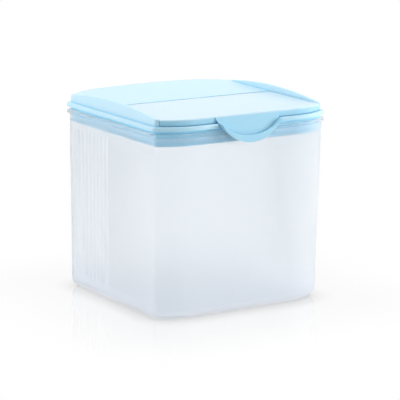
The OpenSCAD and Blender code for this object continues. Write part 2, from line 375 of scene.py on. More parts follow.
def grain_group():
    """Grain as a 0 to 1 mask and as a bumped normal."""
    group = bpy.data.node_groups.new("moulded_grain", "ShaderNodeTree")
    socket(group, "Scale", "NodeSocketFloat", "INPUT", GRAIN_SCALE)
    socket(group, "Height", "NodeSocketFloat", "INPUT", 0.1)
    socket(group, "Mask", "NodeSocketFloat", "OUTPUT")
    socket(group, "Normal", "NodeSocketVector", "OUTPUT")
    entry = group.nodes.new("NodeGroupInput")
    leave = group.nodes.new("NodeGroupOutput")
    place = group.nodes.new("ShaderNodeTexCoord")
    noise = node(group, "ShaderNodeTexNoise", Detail=3.0)
    bump = node(group, "ShaderNodeBump", Distance=GRAIN_DEPTH)
    group.links.new(place.outputs["Object"], noise.inputs["Vector"])
    group.links.new(entry.outputs["Scale"], noise.inputs["Scale"])
    group.links.new(entry.outputs["Height"], bump.inputs["Strength"])
    group.links.new(noise.outputs["Fac"], bump.inputs["Height"])
    group.links.new(noise.outputs["Fac"], leave.inputs["Mask"])
    group.links.new(bump.outputs["Normal"], leave.inputs["Normal"])
    return group


def shade_by_height_group():
    """A colour that goes from one tint to another between two heights: painted shade and light by height.
    """
    group = bpy.data.node_groups.new("painted_shade_by_height", "ShaderNodeTree")
    socket(group, "Low colour", "NodeSocketColor", "INPUT")
    socket(group, "High colour", "NodeSocketColor", "INPUT")
    socket(group, "From", "NodeSocketFloat", "INPUT")
    socket(group, "To", "NodeSocketFloat", "INPUT")
    socket(group, "Colour", "NodeSocketColor", "OUTPUT")
    entry = group.nodes.new("NodeGroupInput")
    leave = group.nodes.new("NodeGroupOutput")
    place = group.nodes.new("ShaderNodeTexCoord")
    split = group.nodes.new("ShaderNodeSeparateXYZ")
    span = node(group, "ShaderNodeMapRange", interpolation_type="SMOOTHSTEP")
    group.links.new(place.outputs["Object"], split.inputs[0])
    group.links.new(split.outputs["Z"], span.inputs["Value"])
    group.links.new(entry.outputs["From"], span.inputs["From Min"])
    group.links.new(entry.outputs["To"], span.inputs["From Max"])
    tints = (entry.outputs["Low colour"], entry.outputs["High colour"])
    group.links.new(tint_mix(group, span.outputs["Result"], *tints), leave.inputs["Colour"])
    return group


GRAIN = grain_group()
SHADE_BY_HEIGHT = shade_by_height_group()
print("shader groups", GRAIN.name, SHADE_BY_HEIGHT.name)

# %% [markdown]
# The lid's plastics get a painted shade where two surfaces close in on each other, such as the groove under
# the band, the slots of the hinge line or the gap behind the tab's lip: the colour turns to a deeper blue
# there.
# Painting a mask would tie the effect to one mesh, so the shader measures how closed in each
# point is.

# %% Painted shade in crevices
CREVICE_REACH = 0.003
CREVICE_FULL = 0.3
CREVICE_NONE = 0.85


def painted_crevice_shade(tree, colour, crevice_shade):
    """The colour, turned to a painted shade colour where surfaces close in on each other."""
    near = node(tree, "ShaderNodeAmbientOcclusion", samples=6, Distance=CREVICE_REACH)
    span = node(tree, "ShaderNodeMapRange", From_Min=CREVICE_FULL, From_Max=CREVICE_NONE)
    tree.links.new(near.outputs["AO"], span.inputs["Value"])
    return tint_mix(tree, span.outputs["Result"], crevice_shade, colour)


print("crevices are looked for within", CREVICE_REACH / MM, "mm")

# %% [markdown]
# Such boxes are usually polypropylene: frosted and nearly clear for the tub, tinted and milky for
# the lid. One function makes all the plastics, since they differ only in tint, shine and how much
# light goes through. The tub lets light through a rough surface, and a low index of refraction
# keeps its thin walls from looking like thick glass. The lid's plastics let a little light
# through to their far side, which lifts the shaded faces. The seals are a duller blue with more
# grain, as soft rubber has.

# %% One function for every plastic
ROUGH_SWING = 0.04


def plastic(name, low, high, span, roughness, transmission=0.0, ior=1.49, grain=0.12, through=0.0,
            crevice_shade=None):
    """A moulded plastic: a tint by height that paints shade and light, a grain, painted shade in crevices,
    and light that passes through it.
    """
    material = bpy.data.materials.new(name)
    tree = empty_tree(material)
    out = tree.nodes.new("ShaderNodeOutputMaterial")
    shader = node(tree, "ShaderNodeBsdfPrincipled", IOR=ior, Transmission_Weight=transmission)
    # The tint by height is painted shade on the lower faces and painted light on the upper ones.
    tint = node(tree, "ShaderNodeGroup", node_tree=SHADE_BY_HEIGHT, Low_colour=low, High_colour=high,
                From=span[0] * MM, To=span[1] * MM)
    fine = node(tree, "ShaderNodeGroup", node_tree=GRAIN, Scale=GRAIN_SCALE, Height=grain)
    rough = node(tree, "ShaderNodeMapRange", To_Min=roughness - ROUGH_SWING, To_Max=roughness + ROUGH_SWING)
    tree.links.new(fine.outputs["Mask"], rough.inputs["Value"])
    tree.links.new(rough.outputs["Result"], shader.inputs["Roughness"])
    tree.links.new(fine.outputs["Normal"], shader.inputs["Normal"])
    colour = tint.outputs["Colour"]
    # Painted shade: the colour turns deeper where surfaces close in.
    if crevice_shade:
        colour = painted_crevice_shade(tree, colour, crevice_shade)
    tree.links.new(colour, shader.inputs["Base Color"])
    surface = shader.outputs["BSDF"]
    if through:
        glow = tree.nodes.new("ShaderNodeBsdfTranslucent")
        tree.links.new(colour, glow.inputs["Color"])
        surface = blend(tree, through, surface, glow.outputs["BSDF"])
    tree.links.new(surface, out.inputs["Surface"])
    return material


CLEAR = plastic("clear_plastic", low=rgb(246, 249, 254), high=rgb(251, 253, 255), span=(0, 40),
                roughness=0.41, transmission=0.92, ior=1.3, through=0.05)
# Lid frame: the more saturated low colour is painted shade on the band's front and painted light on the
# plug inside the tub. The crevice colour is painted shade.
BLUE = plastic("blue_plastic", low=rgb(172, 232, 255), high=rgb(206, 234, 247), span=(156, 164),
               roughness=0.3, through=0.12, crevice_shade=rgb(150, 218, 247))
# Flap: the low colour paints the shaded front wall a deeper blue, and the high colour paints the lit top a
# paler blue. This is painted shade and light, and the crevice colour is painted shade.
PALE = plastic("pale_blue_plastic", low=rgb(180, 224, 244), high=rgb(216, 235, 246), span=(168.2, 169.8),
               roughness=0.26, through=0.12, crevice_shade=rgb(96, 178, 220))
SEAL = plastic("soft_seal", low=rgb(176, 220, 243), high=rgb(190, 226, 245), span=(146, 168),
               roughness=0.6, grain=0.2)
print("finishes", [m.name for m in (CLEAR, BLUE, PALE, SEAL)])

# %% [markdown]
# The tub is one injection moulding: a foot ring round a hollow bottom, a soft base radius,
# walls that lean out so that it leaves the mould, and a rim lip that the lid rests on. Grip ribs
# stand on the rear half of each side wall. The tub could be a solid cut hollow, but a cut leaves
# untidy faces. Instead one section is drawn from the foot over the rim to the inside floor, and
# each of its points gives one loop of the outline. The ribs are bulges in the middle loops.

# %% The tub
TUB_H = 157.8
TUB_WALL = 2.0
BOTTOM_T = 2.2
DRAFT = 0.8
BASE_R = 8.0
FOOT_W = 6.0
FOOT_H = 1.0
RIM_OUT = 1.8
RIM_T = 2.7
FOOT_R = 0.3
BASE_TRIM = 0.2
RIM_UNDER_R = 0.5
RIM_LOW_R = 0.6
RIM_TOP_R = 0.9
RIM_IN_R = 0.5
RIB_N = 11
RIB_START = 3.5
RIB_END = 1.5
RIB_OUT = 0.6
RIB_W = 2.2
RIB_LOW = 13.0
RIB_DROP = 15.0
RIB_SHAPE = ((-0.5, 0), (-0.25, 1), (0.25, 1), (0.5, 0))


def lean(z):
    """How far the leaning wall stands inside the rim at height z, as a negative offset."""
    return -(TUB_H - z) * math.tan(math.radians(DRAFT))


def rib_points(share):
    """Points of the ribs along the side wall, each pushed out by share of the ribs' height."""
    points = []
    last = HUB_Y + crease_centre(0)[1] - RIB_END
    for i in range(RIB_N):
        y = RIB_START + (last - RIB_START) * i / (RIB_N - 1)
        for reach, out in RIB_SHAPE:
            points.append((y + reach * RIB_W, out * share * RIB_OUT))
    return points


def build_tub():
    bm = bmesh.new()
    floor_z = FOOT_H + BOTTOM_T
    inner_r = BASE_R - TUB_WALL
    foot = lean(0) - BASE_R
    outside = rounded([
        (foot - FOOT_W - 2 * FOOT_H, FOOT_H, 0),
        (foot - FOOT_W - FOOT_H, FOOT_H, FOOT_R),
        (foot - FOOT_W, 0, FOOT_R),
        (lean(0), 0, BASE_R - BASE_TRIM),
        (lean(RIB_LOW), RIB_LOW, 0),
    ], steps=8)
    rise = 3 * RIB_OUT
    rib_top = TUB_H - RIB_DROP
    rim = rounded([
        (lean(rib_top), rib_top, 0),
        (lean(TUB_H - RIM_T), TUB_H - RIM_T, RIM_UNDER_R),
        (RIM_OUT, TUB_H - RIM_T, RIM_LOW_R),
        (RIM_OUT, TUB_H, RIM_TOP_R),
        (-TUB_WALL, TUB_H, RIM_IN_R),
        (lean(floor_z) - TUB_WALL, floor_z, inner_r),
        (lean(floor_z) - TUB_WALL - 2 * inner_r, floor_z, 0),
    ], steps=6)
    rows = [(o, z, 0) for o, z in outside]
    rows += [(lean(z), z, share) for z, share in ((RIB_LOW + rise, 1), (rib_top - rise, 1), (rib_top, 0))]
    rows += [(o, z, 0) for o, z in rim[1:]]
    sweep(bm, [[(x, y, z) for x, y in outline(o, ribs=rib_points(share))] for o, z, share in rows])
    close_ends(bm)
    return bm


add_piece("tub_shell", build_tub(), CLEAR, "tub", "tub")

# %% [markdown]
# The lid frame is the fixed part of the lid and, like the tub, one moulding. Everything below
# its deck is a ring: a plug that goes down inside the rim, a shoulder that rests on the rim, and
# a band that stands out over a dark groove. The band steps back in front, where the thumb tab
# hangs through it, so the tab's size is needed here. The section goes round the plan once, and
# the notch is a change of offset along the front, which keeps the ring in one piece.

# %% The ring of the lid
DECK_RISE = 12.2
LID_INSET = 1.1
LID_WALL = 2.0
GROOVE_H = 2.6
BAND_T = 3.8
BAND_OUT = 2.0
PLUG_H = 10.4
PLUG_T = 1.8
PLUG_GAP = 0.5
SHELF_T = 1.8
LSEAL_H = 2.4
LSEAL_SET = 0.8
PLUG_EDGE_R = 0.6
RING_IN_LOW_R = 0.5
RING_IN_TOP_R = 0.4
SHOULDER_R = 0.2
GROOVE_R = 0.3
BAND_LOW_R = 0.6
BAND_TOP_R = 0.9
FLAP_GAP = 0.35
TAB_HALF = 32.8
TAB_DROP = 22.9
PLUG_IN = TUB_WALL + PLUG_GAP
Z_DECK = TUB_H + DECK_RISE
Z_BAND = TUB_H + GROOVE_H
Z_SHELF = Z_BAND + BAND_T
Z_PLUG = TUB_H - PLUG_H
Z_SEAL = Z_PLUG + (PLUG_H - LSEAL_H) / 2
TAB_R = (TAB_HALF ** 2 + TAB_DROP ** 2) / (2 * TAB_DROP)
Z_TAB = Z_DECK - TAB_DROP + TAB_R
NOTCH_HALF = math.sqrt(TAB_R ** 2 - (Z_TAB - Z_SHELF) ** 2) + FLAP_GAP
NOTCH_STEPS = ((-0.9, 1.0), (-0.45, 0.92), (-0.12, 0.7), (0.0, 0.4), (0.05, 0.0))


def notched(offset):
    """Points along the front flat where the band steps back to let the tab hang through."""
    left = []
    for reach, share in NOTCH_STEPS:
        drawn = offset if offset <= -LID_INSET else -LID_INSET + share * (offset + LID_INSET)
        left.append((-NOTCH_HALF + reach, drawn))
    return left + [(-x, o) for x, o in reversed(left)]


def lid_ring(bm):
    inner = -PLUG_IN - PLUG_T
    section = rounded([
        (inner, Z_PLUG, RING_IN_LOW_R),
        (-PLUG_IN, Z_PLUG, PLUG_EDGE_R),
        (-PLUG_IN, Z_SEAL, 0),
        (-PLUG_IN - LSEAL_SET, Z_SEAL, 0),
        (-PLUG_IN - LSEAL_SET, Z_SEAL + LSEAL_H, 0),
        (-PLUG_IN, Z_SEAL + LSEAL_H, 0),
        (-PLUG_IN, TUB_H, 0),
        (-LID_INSET, TUB_H, SHOULDER_R),
        (-LID_INSET, Z_BAND, GROOVE_R),
        (BAND_OUT, Z_BAND, BAND_LOW_R),
        (BAND_OUT, Z_SHELF, BAND_TOP_R),
        (-LID_INSET - LID_WALL, Z_SHELF, 0),
        (-LID_INSET - LID_WALL, TUB_H + SHELF_T, 0),
        (inner, TUB_H + SHELF_T, RING_IN_TOP_R),
    ], steps=4, closed=True)
    ring(bm, section, lambda o, z: [(x, y, z) for x, y in outline(o, notch=notched(o))])


print("plug from", round(Z_PLUG, 1), "band to", round(Z_SHELF, 1), "notch half width", round(NOTCH_HALF, 2))

# %% [markdown]
# The rear half of the lid is closed by a slightly domed deck, since a dome stiffens a thin sheet.
# A subdivided plane with a bend would give it, but its edge wouldn't follow the outline. So the
# deck, its rear wall and the wall under the hinge line are one skin, drawn as rows from the rear
# edge forward and back again underneath.

# %% The deck
DECK_T = 2.0
DOME_MID = 2.8
DOME_SIDE = 0.3
CHEEK_T = 3.0
HINGE_Y = 2.5
SLOT_W = 1.1
EDGE_R = 1.2
SLOT_R = 0.1
DECK_SINK = 0.4
BAND_SINK = 0.3
LID_HALF = TUB_W / 2 - LID_INSET
CHEEK_HALF = LID_HALF - CHEEK_T
Y_SLOT = HINGE_Y + DECK_T / 2 + SLOT_W
EDGE_STEPS = 5
SLOT_STEPS = 3
DECK_ROWS = 10
UNDER_ROWS = 5


def deck_top(x, y):
    """Height of the domed deck, which is level with the flap at the hinge line."""
    t = (y - HINGE_Y) / (TUB_D / 2 - HINGE_Y)
    return Z_DECK + t * (DOME_MID - (DOME_MID - DOME_SIDE) * (x / LID_HALF) ** 2)


def deck(bm):
    """The rear deck, its rear wall and the wall under the hinge line, as one bent skin."""
    half = CHEEK_HALF + DECK_SINK
    rows = [[(x, y, Z_SHELF - BAND_SINK) for x, y in edge_line(-LID_INSET, half)]]
    for a in quarter_turn(EDGE_STEPS):
        line = edge_line(-LID_INSET - EDGE_R * (1 - math.cos(a)), half)
        rows.append([(x, y, deck_top(x, y) - EDGE_R * (1 - math.sin(a))) for x, y in line])
    back = edge_line(-LID_INSET - EDGE_R, half)
    near = Y_SLOT + SLOT_R
    for k in range(1, DECK_ROWS + 1):
        line = [(x, y + (near - y) * k / DECK_ROWS) for x, y in back]
        rows.append([(x, y, deck_top(x, y)) for x, y in line])
    for a in quarter_turn(SLOT_STEPS)[1:]:
        y = near - SLOT_R * math.sin(a)
        rows.append([(x, y, deck_top(x, near) - SLOT_R * (1 - math.cos(a))) for x, _ in back])
    rows.append([(x, Y_SLOT, Z_SHELF - SHELF_T) for x, _ in back])
    rows.append([(x, Y_SLOT + DECK_T, Z_SHELF - SHELF_T) for x, _ in back])
    inside = edge_line(-LID_INSET - LID_WALL, half)
    for k in range(UNDER_ROWS + 1):
        start = Y_SLOT + DECK_T
        line = [(x, start + (end - start) * k / UNDER_ROWS) for (x, _), (_, end) in zip(back, inside)]
        rows.append([(x, y, deck_top(x, y) - DECK_T) for x, y in line])
    rows.append([(x, y, Z_SHELF - BAND_SINK) for x, y in inside])
    rows.append(rows[0])
    capped_sweep(bm, rows, closed=False)


print("deck at", Z_DECK, "and its highest point at", round(deck_top(0, TUB_D / 2 - LID_INSET), 1))

# %% [markdown]
# Between flap and deck the hinge line is open in two slots and closed in the middle and at the
# ends, where tongues of the deck reach forward. Cutting the slots would need a boolean. It is
# simpler to leave the whole line open and to put the three tongues back as blocks.

# %% The hinge line
BRIDGE_HALF = 9.5
BRIDGE_GAP = 0.3
END_W = 5.0
TONGUE_PROUD = 0.01
TONGUE_SOFT = 0.15
Y_BRIDGE = HINGE_Y + DECK_T / 2 + BRIDGE_GAP


def tongues(bm):
    """The closed stretches of the hinge line, in the middle and at both ends."""
    top = deck_top(0, Y_SLOT) + TONGUE_PROUD
    half_end = (END_W + CHEEK_T) / 2
    spots = [(0, BRIDGE_HALF)] + [(s * (CHEEK_HALF - END_W / 2), half_end) for s in (-1, 1)]
    for middle, half in spots:
        low = (middle - half, Y_BRIDGE, Z_DECK - DECK_T)
        block(bm, low, (middle + half, Y_SLOT + DECK_T / 2, top), TONGUE_SOFT)


print("hinge line from", Y_BRIDGE, "to", round(Y_SLOT, 2), "mm")

# %% [markdown]
# Two arched cheeks close the lid's sides and carry the hinge. In the mould they are ribs of the
# same shot of plastic. A flat plate cut to an arch wouldn't follow the swept corners, so each
# cheek is a small upright section that travels from the front tip to the rear tip and grows and
# shrinks with the arch.

# %% The cheeks
CHEEK_RISE = 5.4
CHEEK_SOFT = 0.7
SOFT_SHARE = 0.45
TIP_W = 0.05
TOP_SPARE = 0.02
ARCH_STEPS = 24
Z_TOP = Z_DECK + CHEEK_RISE


def arch_top(y):
    """Height of the arch, kept just inside the frame's box."""
    half_chord = HUB_Y + crease_centre(-LID_INSET)[1] + CREASE_R
    radius = (half_chord ** 2 + CHEEK_RISE ** 2) / (2 * CHEEK_RISE)
    return Z_TOP - TOP_SPARE - radius + math.sqrt(radius ** 2 - y * y)


def cheek(bm, side):
    """One side cheek, drawn from its front tip over the arch to its rear tip."""
    tips = [(x, y) for x, y in quarter(-LID_INSET) if x > CHEEK_HALF + TIP_W]
    rear = tips + [(CHEEK_HALF + TIP_W, arc_y(-LID_INSET, CHEEK_HALF))]
    flat_x, flat_y = rear[0]
    middle = [(flat_x, flat_y * (2 * k / ARCH_STEPS - 1)) for k in range(1, ARCH_STEPS)]
    rows = []
    for x, y in [(x, -y) for x, y in reversed(rear)] + middle + rear:
        soft = min(CHEEK_SOFT, (x - CHEEK_HALF) * SOFT_SHARE)
        section = rounded([
            (CHEEK_HALF, Z_SHELF - BAND_SINK, 0),
            (x, Z_SHELF - BAND_SINK, 0),
            (x, arch_top(y), soft),
            (CHEEK_HALF, arch_top(y), soft),
        ], closed=True)
        rows.append([(side * a, y, b) for a, b in section])
    capped_sweep(bm, rows)


print("cheek tops at", round(arch_top(0), 2))

# %% [markdown]
# Under the flap the lid isn't open all over. A flat shelf leaves a rounded opening with a low
# collar, which the flap's seal closes on. The shelf is a sheet with a hole: its two outlines are
# filled with triangles and thickened, because no sweep fits a rim and a hole that differ in shape.

# %% The shelf and its collar
MOUTH_W = 132.0
MOUTH_BACK = 11.0
MOUTH_FRONT = 13.0
MOUTH_R = 10.0
COLLAR_T = 1.6
COLLAR_H = 2.9
COLLAR_TOP_R = 0.6
COLLAR_FOOT_R = 0.3
SHELF_SINK = 0.02
HOLE_SPARE = 0.2
RIM_SPARE = 1.0
Y_LID = -TUB_D / 2 + LID_INSET
Z_COLLAR = Z_SHELF + COLLAR_H
MOUTH_STEPS = 8


def round_rect(g):
    """The opening's outline, grown by g."""
    r = MOUTH_R + g
    x = MOUTH_W / 2 + g - r
    y0 = Y_LID + MOUTH_FRONT - g + r
    y1 = HINGE_Y - MOUTH_BACK + g - r
    points = []
    for cx, cy, turn in ((x, y0, -90), (x, y1, 0), (-x, y1, 90), (-x, y0, 180)):
        for a in quarter_turn(MOUTH_STEPS):
            a += math.radians(turn)
            points.append((cx + r * math.cos(a), cy + r * math.sin(a)))
    return points


def closed_chain(bm, points, z):
    verts = [bm.verts.new((x, y, z)) for x, y in points]
    return [bm.edges.new(pair) for pair in zip(verts, [*verts[1:], verts[0]])]


def shelf(bm):
    """The flat shelf round the opening, and the collar that the flap seal closes on."""
    back = Y_SLOT + DECK_T
    rim = [(x, y) for x, y in outline(-LID_INSET - LID_WALL / 2) if y < back - RIM_SPARE]
    rim += [(rim[-1][0], back), (rim[0][0], back)]
    top = Z_SHELF - SHELF_SINK
    edges = closed_chain(bm, rim, top) + closed_chain(bm, round_rect(HOLE_SPARE), top)
    filled = bmesh.ops.triangle_fill(bm, edges=edges, use_beauty=True)["geom"]
    flat = [g for g in filled if isinstance(g, bmesh.types.BMFace)]
    thicken(bm, flat, (0, 0, -SHELF_T + 2 * SHELF_SINK))
    section = rounded([
        (0, Z_SHELF - SHELF_T, COLLAR_FOOT_R),
        (0, Z_COLLAR, COLLAR_TOP_R),
        (COLLAR_T, Z_COLLAR, COLLAR_TOP_R),
        (COLLAR_T, Z_SHELF - SHELF_T, COLLAR_FOOT_R),
    ], closed=True)
    ring(bm, section, lambda g, z: [(x, y, z) for x, y in round_rect(g)])


print("opening", MOUTH_W, "wide, collar top at", round(Z_COLLAR, 1))

# %% [markdown]
# The parts of the lid frame overlap a little and are gathered in one mesh. Joining them with a
# boolean would take longer and show nothing more, since the overlaps are hidden.

# %% The lid frame
cheeks = [partial(cheek, side=side) for side in (-1, 1)]
add_piece("lid_frame_shell", join_parts([lid_ring, deck, tongues, shelf, *cheeks]), BLUE,
          "lid", "lid_frame")

# %% [markdown]
# The flap is a thin plate with a wall that hangs down in front. Its rear edge is rolled into a
# barrel that turns on two stub trunnions. A plate and a wall joined at a right angle would show a
# hard line there, so plate, front edge, wall and barrel are one skin, as on the moulding.

# %% The flap's skin
FLAP_HALF = CHEEK_HALF - FLAP_GAP
Z_HINGE = Z_DECK - DECK_T / 2
FRONT_STEPS = 6
PLATE_ROWS = 8
BARREL_STEPS = 8


def front_line(offset):
    """The front edge of the outline, as wide as the flap."""
    return [(x, -y) for x, y in edge_line(offset, FLAP_HALF)]


def flap_skin(bm):
    low = Z_SHELF + FLAP_GAP
    rows = [[(x, y, low) for x, y in front_line(-LID_INSET)]]
    for a in quarter_turn(FRONT_STEPS):
        z = Z_DECK - EDGE_R * (1 - math.sin(a))
        rows.append([(x, y, z) for x, y in front_line(-LID_INSET - EDGE_R * (1 - math.cos(a)))])
    edge = front_line(-LID_INSET - EDGE_R)
    for k in range(1, PLATE_ROWS + 1):
        rows.append([(x, y + (HINGE_Y - y) * k / PLATE_ROWS, Z_DECK) for x, y in edge])
    barrel = DECK_T / 2
    for k in range(1, BARREL_STEPS + 1):
        a = math.pi / 2 - math.pi * k / BARREL_STEPS
        rows.append([(x, HINGE_Y + barrel * math.cos(a), Z_HINGE + barrel * math.sin(a)) for x, _ in edge])
    inside = front_line(-LID_INSET - LID_WALL)
    rows.append([(x, y, Z_DECK - DECK_T) for x, y in inside])
    rows.append([(x, y, low) for x, y in inside])
    rows.append(rows[0])
    capped_sweep(bm, rows, closed=False)


print("flap half width", round(FLAP_HALF, 2), "hinge axis at", (HINGE_Y, Z_HINGE))

# %% [markdown]
# The thumb tab hangs from the flap's front as a half moon. Its plate slopes outwards to a knee
# and then more steeply to the lip. A disc cut in half would have its points in the wrong places
# for that bend, so the plate is drawn in columns that all have a point on the knee.

# %% The tab's plate
TAB_T = 1.5
TAB_SLOPE = 0.4
TAB_KNEE = 11.9
TAB_STEP = 0.5
TAB_TOP = 0.7
TAB_TURN = 69.3
TAB_COLUMNS = 64
TAB_ROWS = 4
LIP_OUT = 7.6
Y_LIP = Y_LID - LIP_OUT
Z_KNEE = Z_DECK - TAB_KNEE


def plate_y(z):
    """Front face of the tab's plate at height z."""
    y_knee = Y_LID - TAB_SLOPE * TAB_KNEE
    z_low = Z_DECK - TAB_DROP
    if z >= Z_KNEE:
        return Y_LID - TAB_SLOPE * (Z_DECK - z)
    t = (Z_KNEE - z) / (Z_KNEE - z_low)
    return y_knee + (Y_LIP + TAB_STEP - y_knee) * t


def tab_plate(bm):
    """The half moon plate, drawn as columns from the lid's top edge down to the round edge."""
    top = Z_DECK - TAB_TOP
    rows = [[] for _ in range(2 * TAB_ROWS + 1)]
    for i in range(TAB_COLUMNS + 1):
        x = TAB_R * math.sin(math.radians(TAB_TURN * (2 * i / TAB_COLUMNS - 1)))
        edge = Z_TAB - math.sqrt(TAB_R ** 2 - x * x)
        turn = max(edge, Z_KNEE)
        heights = [top + (turn - top) * k / TAB_ROWS for k in range(TAB_ROWS + 1)]
        heights += [turn + (edge - turn) * k / TAB_ROWS for k in range(1, TAB_ROWS + 1)]
        for row, z in zip(rows, heights):
            row.append((x, plate_y(z), z))
    sweep(bm, rows, closed=False)
    merge(bm)
    thicken(bm, list(bm.faces), (0, TAB_T, 0))


print("tab half width", TAB_HALF, "lip at y", round(Y_LIP, 1))

# %% [markdown]
# A crescent lip stands proud along the tab's round edge, and the thumb pushes on it. It is what
# is left of the half moon when a wider circle is taken away, so its height in each column is the
# distance between two arcs. Its face is drawn flat and extruded back onto the plate, and only
# the front edges are softened, because the rear ones are buried.

# %% The tab's lip
LIP_H = 6.1
LIP_IN_R = 47.0
LIP_SOFT = 0.35
LIP_COLUMNS = 72
LIP_ROWS = 3
Z_LIP_IN = Z_DECK - TAB_DROP + LIP_H + LIP_IN_R


def crescent(bm):
    """The lip: the crescent between the tab's round edge and a wider inner arc."""
    z_cross = (LIP_IN_R ** 2 - TAB_R ** 2 + Z_TAB ** 2 - Z_LIP_IN ** 2) / (2 * (Z_TAB - Z_LIP_IN))
    tip_angle = math.asin(math.sqrt(TAB_R ** 2 - (Z_TAB - z_cross) ** 2) / TAB_R)
    rows = [[] for _ in range(LIP_ROWS + 1)]
    for i in range(LIP_COLUMNS + 1):
        x = TAB_R * math.sin(tip_angle * (2 * i / LIP_COLUMNS - 1))
        low = Z_TAB - math.sqrt(TAB_R ** 2 - x * x)
        high = Z_LIP_IN - math.sqrt(LIP_IN_R ** 2 - x * x)
        for k, row in enumerate(rows):
            row.append((x, Y_LIP, low + (max(high, low) - low) * k / LIP_ROWS))
    sweep(bm, rows, closed=False)
    merge(bm)
    front = set(bm.verts)
    made = bmesh.ops.extrude_face_region(bm, geom=list(bm.faces))["geom"]
    for v in new_verts(made):
        v.co.y = plate_y(v.co.z) + TAB_T / 2
    flat = [e for e in bm.edges if set(e.verts) <= front]
    rim = [e for e in flat if any(not set(f.verts) <= front for f in e.link_faces)]
    bmesh.ops.bevel(bm, geom=rim, offset=LIP_SOFT, segments=3, profile=0.5, affect="EDGES", material=-1,
                    clamp_overlap=True)


print("lip height", LIP_H, "inner arc centre at", round(Z_LIP_IN, 1))

# %% [markdown]
# Two skirts stiffen the flap's sides, and a stub trunnion on each side turns in a blind bore of
# the cheek. They are moulded with the flap. Both are hidden when the lid is shut, so a block and
# a plain cylinder are enough.

# %% Skirts and trunnions
SKIRT_T = 1.5
SKIRT_H = 2.6
SKIRT_SINK = 0.2
SKIRT_SOFT = 0.25
SIDE_SPARE = 0.02
PIN_R = 1.2
PIN_LEN = 2.1
PIN_SINK = 0.4


def skirt(bm, side):
    """The stiffening skirt under one side of the flap."""
    ends = sorted((side * (FLAP_HALF - SKIRT_T), side * (FLAP_HALF - SIDE_SPARE)))
    low = (ends[0], -arc_y(-LID_INSET - LID_WALL, FLAP_HALF), Z_DECK - DECK_T - SKIRT_H)
    high = (ends[1], HINGE_Y - MOUTH_BACK / 2, Z_DECK - DECK_T + SKIRT_SINK)
    block(bm, low, high, SKIRT_SOFT)


def trunnion(bm, side):
    """The stub that the flap turns on, at one side."""
    start = side * (FLAP_HALF - PIN_SINK)
    finish = side * (FLAP_HALF + PIN_LEN)
    middle = Matrix.Translation(((start + finish) / 2, HINGE_Y, Z_HINGE))
    bmesh.ops.create_cone(bm, cap_ends=True, segments=32, radius1=PIN_R, radius2=PIN_R,
                          depth=abs(finish - start), matrix=middle @ Matrix.Rotation(math.pi / 2, 4, "Y"))


def both_sides(part):
    return [partial(part, side=side) for side in (-1, 1)]


flap_parts = [flap_skin, tab_plate, crescent, *both_sides(skirt), *both_sides(trunnion)]
add_piece("flap_shell", join_parts(flap_parts), PALE, "flap", "flap")

# %% [markdown]
# Two soft seals keep frost out: one in a groove under the flap, which closes on the collar, and
# one round the plug. They are moulded rubber rings. A bent tube would be round in section, but
# such seals have flat backs that fill their grooves, so each is a rounded section that runs round
# the same outline as the part it sits in.

# %% The seals
FSEAL_W = 3.4
FSEAL_SET = 0.6
FSEAL_GAP = 0.3
FSEAL_R = 0.5
LSEAL_GAP = 0.2
LSEAL_R = 0.4


def build_flap_seal():
    bm = bmesh.new()
    middle = COLLAR_T / 2
    low = Z_COLLAR + FSEAL_GAP
    high = Z_DECK - DECK_T + FSEAL_SET
    section = rounded([
        (middle - FSEAL_W / 2, low, FSEAL_R),
        (middle + FSEAL_W / 2, low, FSEAL_R),
        (middle + FSEAL_W / 2, high, 0),
        (middle - FSEAL_W / 2, high, 0),
    ], closed=True)
    ring(bm, section, lambda g, z: [(x, y, z) for x, y in round_rect(g)])
    return bm


def build_lid_seal():
    bm = bmesh.new()
    outer = -TUB_WALL - LSEAL_GAP + lean(Z_SEAL)
    inner = -PLUG_IN - LSEAL_SET
    section = rounded([
        (inner, Z_SEAL, 0),
        (outer, Z_SEAL, LSEAL_R),
        (outer, Z_SEAL + LSEAL_H, LSEAL_R),
        (inner, Z_SEAL + LSEAL_H, 0),
    ], closed=True)
    ring(bm, section, lambda o, z: [(x, y, z) for x, y in outline(o)])
    return bm


add_piece("flap_seal_ring", build_flap_seal(), SEAL, "flap", "flap_seal")
add_piece("lid_seal_ring", build_lid_seal(), SEAL, "lid", "lid_seal")

# %% [markdown]
# In a studio the box stands on a sheet of glossy white plastic, so bright that it has no edge,
# and the floor mirrors the box faintly. Lighting a real floor to pure white would wash out the
# box as well. So the floor is white by itself for the camera and for what shines through the
# tub, and a dull white surface for all other light.

# %% Helpers for the floor and the backdrop
WHITE_RAYS = ("Is Camera Ray", "Is Transmission Ray", "Is Glossy Ray")


def calc(tree, operation, *values, kind="ShaderNodeMath", result=0, **settings):
    """A maths node fed with values, which are sockets or plain numbers."""
    made = node(tree, kind, operation=operation, **settings)
    for entry, value in zip(made.inputs, values):
        feed(tree, entry, value)
    return made.outputs[result]


def light_path_any(tree, names):
    """1 for rays of any of the named kinds."""
    path = tree.nodes.new("ShaderNodeLightPath")
    value = path.outputs[names[0]]
    for name in names[1:]:
        value = calc(tree, "MAXIMUM", value, path.outputs[name])
    return value


print("rays that see pure white", len(WHITE_RAYS))

# %% [markdown]
# A mirror image that is as strong far out as beside the box looks like wet glass. On a real sheet it fades,
# because the sheet isn't quite smooth. The mirror's share therefore falls with the distance from the box's
# footprint, and a painted contact shadow darkens the floor a little where the box touches it.

# %% The floor
MIRROR_SHARE = 0.22
MIRROR_FADE = 0.12
MIRROR_ROUGHNESS = 0.06
CONTACT_REACH = 0.02
CONTACT_FULL = 0.3
CONTACT_NONE = 0.95
CONTACT_SHADE = 0.72
FLOOR_GREY = (0.8, 0.8, 0.8, 1)
FLOOR_SIZE = 6.0


